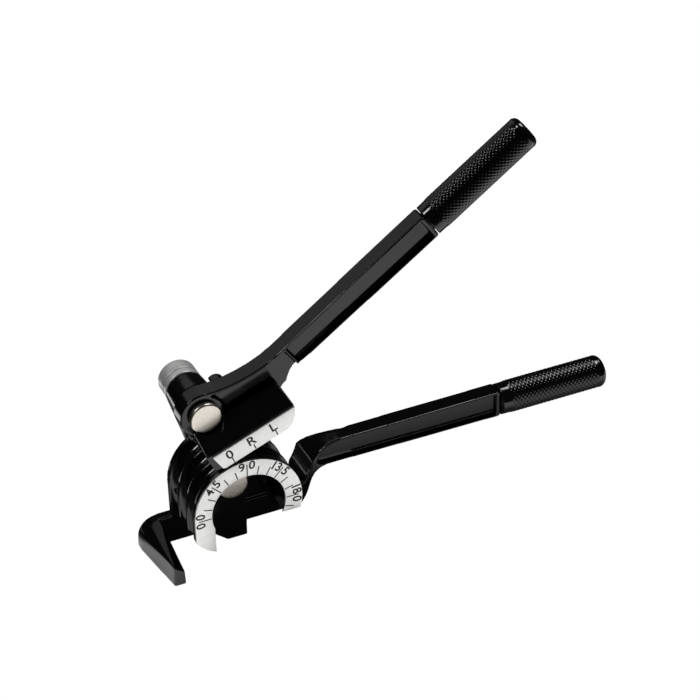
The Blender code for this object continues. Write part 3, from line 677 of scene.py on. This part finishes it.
def pivot_pin(node, look):
    """A pin with a broad, slightly domed head whose edge is rolled over."""
    low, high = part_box(node)
    centre = (low + high) / 2
    head_r, thick, edge = (high.x - low.x) / 2, 2.6 * MM, 0.9 * MM
    profile = [(0.0, 0.0), (0.01 * MM, head_r * 0.35), (0.04 * MM, head_r * 0.7)]
    profile += fillet(edge + 0.06 * MM, head_r - edge, edge, 4, 90, 8)
    profile += [(thick - 0.2 * MM, head_r), (thick, head_r - 0.2 * MM), (thick, SHANK_R)]
    end = high.y - low.y
    profile += [(end - 0.5 * MM, SHANK_R), (end, SHANK_R - 0.5 * MM), (end, 0.0)]
    mesh = ring_mesh(node, profile, (centre.x, low.y, centre.z), (0, 1, 0))
    add_piece(node + "_finished", smooth(mesh, 40), look, node, "nickel")


def box_mesh(name, low, high):
    body = bmesh.new()
    bmesh.ops.create_cube(body, size=1.0)
    low, high = Vector(low), Vector(high)
    bmesh.ops.scale(body, verts=body.verts, vec=high - low)
    bmesh.ops.translate(body, verts=body.verts, vec=(low + high) / 2)
    mesh = bpy.data.meshes.new(name)
    body.to_mesh(mesh)
    body.free()
    return mesh


def round_nut(node, look, slot_name, rings):
    """A round nut with turned rings on its side and a screwdriver slot across its back."""
    low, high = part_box(node)
    centre = (low + high) / 2
    radius, thick = (high.x - low.x) / 2, high.y - low.y
    profile = [(thick * 0.6, 0.0), (thick * 0.6, BORE_R), (0.0, BORE_R)]
    profile += fillet(0.3 * MM, radius - 0.3 * MM, 0.3 * MM, 0, 90, 4)
    for at in rings:
        groove = 0.22 * MM
        profile += [(at * thick - groove, radius), (at * thick, radius - groove),
                    (at * thick + groove, radius)]
    profile += [(a, r) for a, r in fillet(thick - 1.0 * MM, radius - 1.0 * MM, -1.0 * MM, -90, 0, 7)]
    profile += [(thick, radius * 0.5), (thick, 0.0)]
    mesh = ring_mesh(node, profile, (centre.x, low.y, centre.z), (0, 1, 0))
    half = 0.9 * MM
    slot_box = box_mesh("slot", (centre.x - radius - MM, high.y - 1.4 * MM, centre.z - half),
                        (centre.x + radius + MM, high.y + MM, centre.z + half))
    mesh = subtract(mesh, slot_box)
    add_piece(node + "_finished", smooth(mesh, 35), look, node, slot_name)


def washer(node, look):
    """A flat ring with broken edges."""
    low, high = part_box(node)
    centre = (low + high) / 2
    outer, bore, thick, edge = (high.x - low.x) / 2, BORE_R, high.y - low.y, 0.12 * MM
    profile = [(0.0, bore + edge), (0.0, outer - edge), (edge, outer), (thick - edge, outer),
               (thick, outer - edge), (thick, bore + edge), (thick - edge, bore), (edge, bore),
               (0.0, bore + edge)]
    mesh = ring_mesh(node, profile, (centre.x, low.y, centre.z), (0, 1, 0))
    add_piece(node + "_finished", smooth(mesh, 30), look, node, "zinc_steel")


def countersunk_screw(node, look):
    """A screw seen from behind: flat head, slot, short shank."""
    low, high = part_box(node)
    centre = (low + high) / 2
    head_r, shank_r, long = (high.x - low.x) / 2, 1.5 * MM, high.y - low.y
    profile = [(0.0, 0.0), (0.0, head_r - 0.15 * MM), (0.15 * MM, head_r), (head_r - shank_r, shank_r),
               (long - 0.3 * MM, shank_r), (long, shank_r - 0.3 * MM), (long, 0.0)]
    mesh = ring_mesh(node, profile, (centre.x, high.y, centre.z), (0, -1, 0))
    half = 0.35 * MM
    slot_box = box_mesh("slot", (centre.x - head_r - MM, high.y - 0.7 * MM, centre.z - half),
                        (centre.x + head_r + MM, high.y + MM, centre.z + half))
    add_piece(node + "_finished", smooth(subtract(mesh, slot_box), 35), look, node, "zinc_steel")


def roll_pin(node, look):
    """A hollow spring pin."""
    low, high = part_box(node)
    centre = (low + high) / 2
    outer, bore, long, edge = (high.x - low.x) / 2, 0.8 * MM, high.y - low.y, 0.3 * MM
    profile = [(0.0, bore), (0.0, outer - edge), (edge, outer), (long - edge, outer),
               (long, outer - edge), (long, bore), (0.0, bore)]
    mesh = ring_mesh(node, profile, (centre.x, low.y, centre.z), (0, 1, 0))
    add_piece(node + "_finished", smooth(mesh, 30), look, node, "zinc_steel")


# ---------------------------------------------------------------- knurled grips

def knurled_grip(node, pin_node, start, direction, length, look):
    """A sleeve with a plain collar, a diamond knurl of raised points and a rounded end."""
    around, samples = 24, 8
    steps = around * samples
    pitch = 2 * math.pi * GRIP_R / around
    collar, round_r, deep = 4.2 * MM, 3.0 * MM, 0.3 * MM
    angles = np.arange(steps) / samples
    rows = [(length - 8 * MM, 0.0), (length - 8 * MM, GRIP_BORE_R), (0.0, GRIP_BORE_R)]
    rows += [(a, r) for a, r in fillet(0.5 * MM, GRIP_R - 0.85 * MM, 0.5 * MM, 0, 90, 5)]
    rows += [(collar - 0.5 * MM, GRIP_R - 0.35 * MM), (collar - 0.2 * MM, GRIP_R - deep)]
    knurl_end = length - round_r - 0.6 * MM
    count = int((knurl_end - collar) / (pitch / samples))
    for i in range(count + 1):
        along = i / samples
        rising = np.abs((along + angles) % 1.0 - 0.5) * 2
        falling = np.abs((along - angles) % 1.0 - 0.5) * 2
        diamond = np.minimum(np.minimum(rising, falling) * 1.2, 1.0)
        fade_in, fade_out = min(1.0, i / samples), min(1.0, (count - i) / samples)
        height = diamond * fade_in * fade_out + 0.75 * (1 - fade_out)
        rows.append((collar + along * pitch, GRIP_R - deep * (1 - height)))
    rows += [(knurl_end + 0.4 * MM, GRIP_R - 0.12 * MM)]
    for angle in np.linspace(0, 90, 9):
        rows.append((length - round_r + round_r * math.sin(math.radians(angle)),
                     GRIP_R - round_r + round_r * math.cos(math.radians(angle))))
    rows += [(length, GRIP_R * 0.3), (length, 0.0)]
    mesh = ring_mesh(node, rows, start, direction)
    low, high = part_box(pin_node)
    centre = (low + high) / 2
    reach = (high.x - low.x) / 2 + 0.3 * MM
    hole = ring_mesh("hole", [(0.0, 0.0), (0.0, reach), (high.y - low.y + 2 * MM, reach),
                              (high.y - low.y + 2 * MM, 0.0)], (centre.x, low.y, centre.z), (0, 1, 0))
    mesh = subtract(mesh, hole)
    add_piece(node + "_knurled", smooth(mesh, 50), look, node, "black_knurl")


def grips(look):
    low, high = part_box("lower_grip")
    knurled_grip("lower_grip", "lower_grip_pin", (low.x, (low.y + high.y) / 2, (low.z + high.z) / 2),
                 (1, 0, 0), high.x - low.x, look)
    along = Vector((math.cos(HANDLE_ANGLE), 0, math.sin(HANDLE_ANGLE)))
    across = Vector((-math.sin(HANDLE_ANGLE), 0, math.cos(HANDLE_ANGLE)))
    start = HANDLE_PIVOT + along * GRIP_START + across * GRIP_AXIS
    low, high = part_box("upper_grip")
    start.y = (low.y + high.y) / 2
    knurled_grip("upper_grip", "upper_grip_pin", start, along, GRIP_LENGTH, look)


# ---------------------------------------------------------------- the whole tool

camera()
studio()
enamel = black_enamel()
nickel = metal("nickel", (0.83, 0.765, 0.68), (0.87, 0.81, 0.73), (0.27, 0.33), 900.0, depth=0.01 * MM,
               strength=0.08)
chrome = metal("chrome", (0.90, 0.90, 0.89), (0.95, 0.95, 0.94), (0.34, 0.44), 700.0, (1.0, 6.0, 1.0),
               0.01 * MM, 0.1, metallic=0.4)
zinc = metal("zinc_steel", (0.44, 0.45, 0.47), (0.60, 0.61, 0.62), (0.26, 0.45), 1200.0)
silver = metal("scale_silver", (0.86, 0.86, 0.84), (0.92, 0.92, 0.90), (0.34, 0.50), 1800.0,
               depth=0.015 * MM, strength=0.2)

castings(enamel, chrome)
scales(silver, mark_black())
pivot_pin("wheel_pivot_pin", nickel)
pivot_pin("handle_pivot_pin", nickel)
round_nut("handle_pivot_nut", chrome, "chrome", (0.2,))
round_nut("wheel_pivot_nut", zinc, "zinc_steel", (0.3,))
washer("wheel_pivot_washer", zinc)
washer("link_washer", zinc)
for screw in ("wheel_screw_1", "wheel_screw_2", "shoe_screw_1", "shoe_screw_2"):
    countersunk_screw(screw, zinc)
for pin in ("lower_grip_pin", "upper_grip_pin"):
    roll_pin(pin, zinc)
grips(black_knurl())
